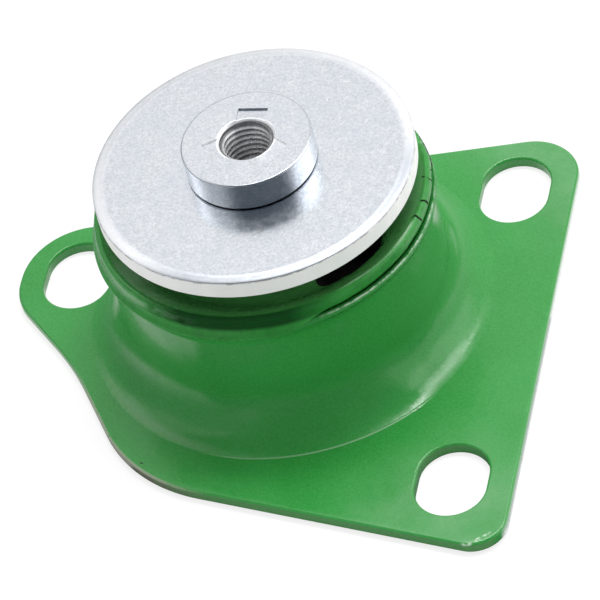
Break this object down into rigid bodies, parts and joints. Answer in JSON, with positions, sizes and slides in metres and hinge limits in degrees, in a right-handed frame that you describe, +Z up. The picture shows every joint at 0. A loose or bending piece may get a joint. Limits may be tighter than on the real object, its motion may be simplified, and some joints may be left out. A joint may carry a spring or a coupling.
{
  "type": "engine mount",
  "caption": "Round bonded rubber engine mount: a green pressed steel cup with a slotted flange, and a plated disc with a threaded boss carried by the rubber.",
  "frame": {"origin": "centre of the flange's bounding box, on the flat underside of the flange", "axes": "+Z up along the mount's own axis, from the flange to the threaded boss; +X towards the straight side with two slots; +Y towards the side where the cup stands close to the edge"},
  "size_m": [0.1048, 0.1006, 0.046],
  "materials": {
    "green_paint": "gloss green paint on pressed sheet steel, worn to grey at one edge",
    "painted_rubber": "black rubber, painted green with the cup where it shows",
    "zinc_plating": "satin bluish zinc plating, finely mottled, with small scratches",
    "core_steel": "plain turned steel, hidden by the disc and the rubber"
  },
  "bodies": {
    "housing": {"housing": "green_paint", "rubber_spring": "painted_rubber"},
    "insert": {"inner_core": "core_steel", "top_disc": "zinc_plating", "threaded_bush": "zinc_plating"}
  },
  "joints": [
    {"name": "vertical_travel", "type": "slide", "parent": "housing", "child": "insert", "axis": [0, 0, 1], "range_m": [-0.0038, 0.003], "stiffness_N_per_m": 200000, "deforming": ["rubber_spring"]}
  ]
}
